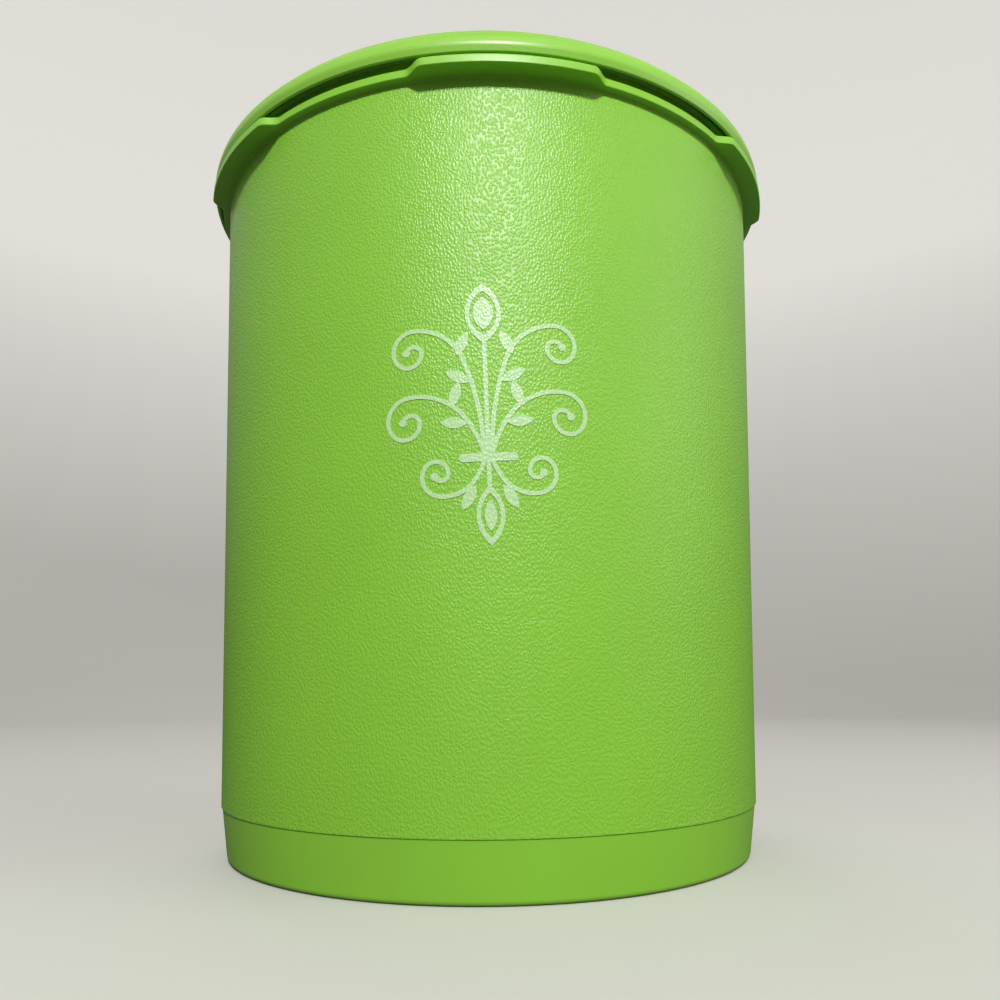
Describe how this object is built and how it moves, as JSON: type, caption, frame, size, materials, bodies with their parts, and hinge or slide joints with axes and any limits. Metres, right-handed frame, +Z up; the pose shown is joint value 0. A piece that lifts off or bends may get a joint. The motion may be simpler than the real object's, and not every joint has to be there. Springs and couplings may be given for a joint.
{
  "type": "kitchen storage canister",
  "caption": "Round tapered kitchen storage canister in moulded plastic with a press-on lid, finger notches round its flange and a printed sprig on its front.",
  "frame": {"origin": "centre of the foot's rest plane", "axes": "+Z up along the canister's axis, -Y out of the front that carries the ornament, +X to the right seen from the front"},
  "size_m": [0.185, 0.1858, 0.2107],
  "materials": {
    "canister_plastic": "injection-moulded polyethylene, pebble-grained wall with a smooth band, flange and neck",
    "lid_plastic": "injection-moulded polyethylene, smooth and slightly waxy",
    "ornament_ink": "thin whitish print, semi-gloss"
  },
  "bodies": {
    "canister": {"canister_body": "canister_plastic", "front_ornament": "ornament_ink"},
    "lid": {"lid": "lid_plastic"}
  },
  "joints": [
    {"name": "lid_lift", "type": "slide", "parent": "canister", "child": "lid", "axis": [0, 0, 1], "range_m": [0, 0.12]}
  ]
}
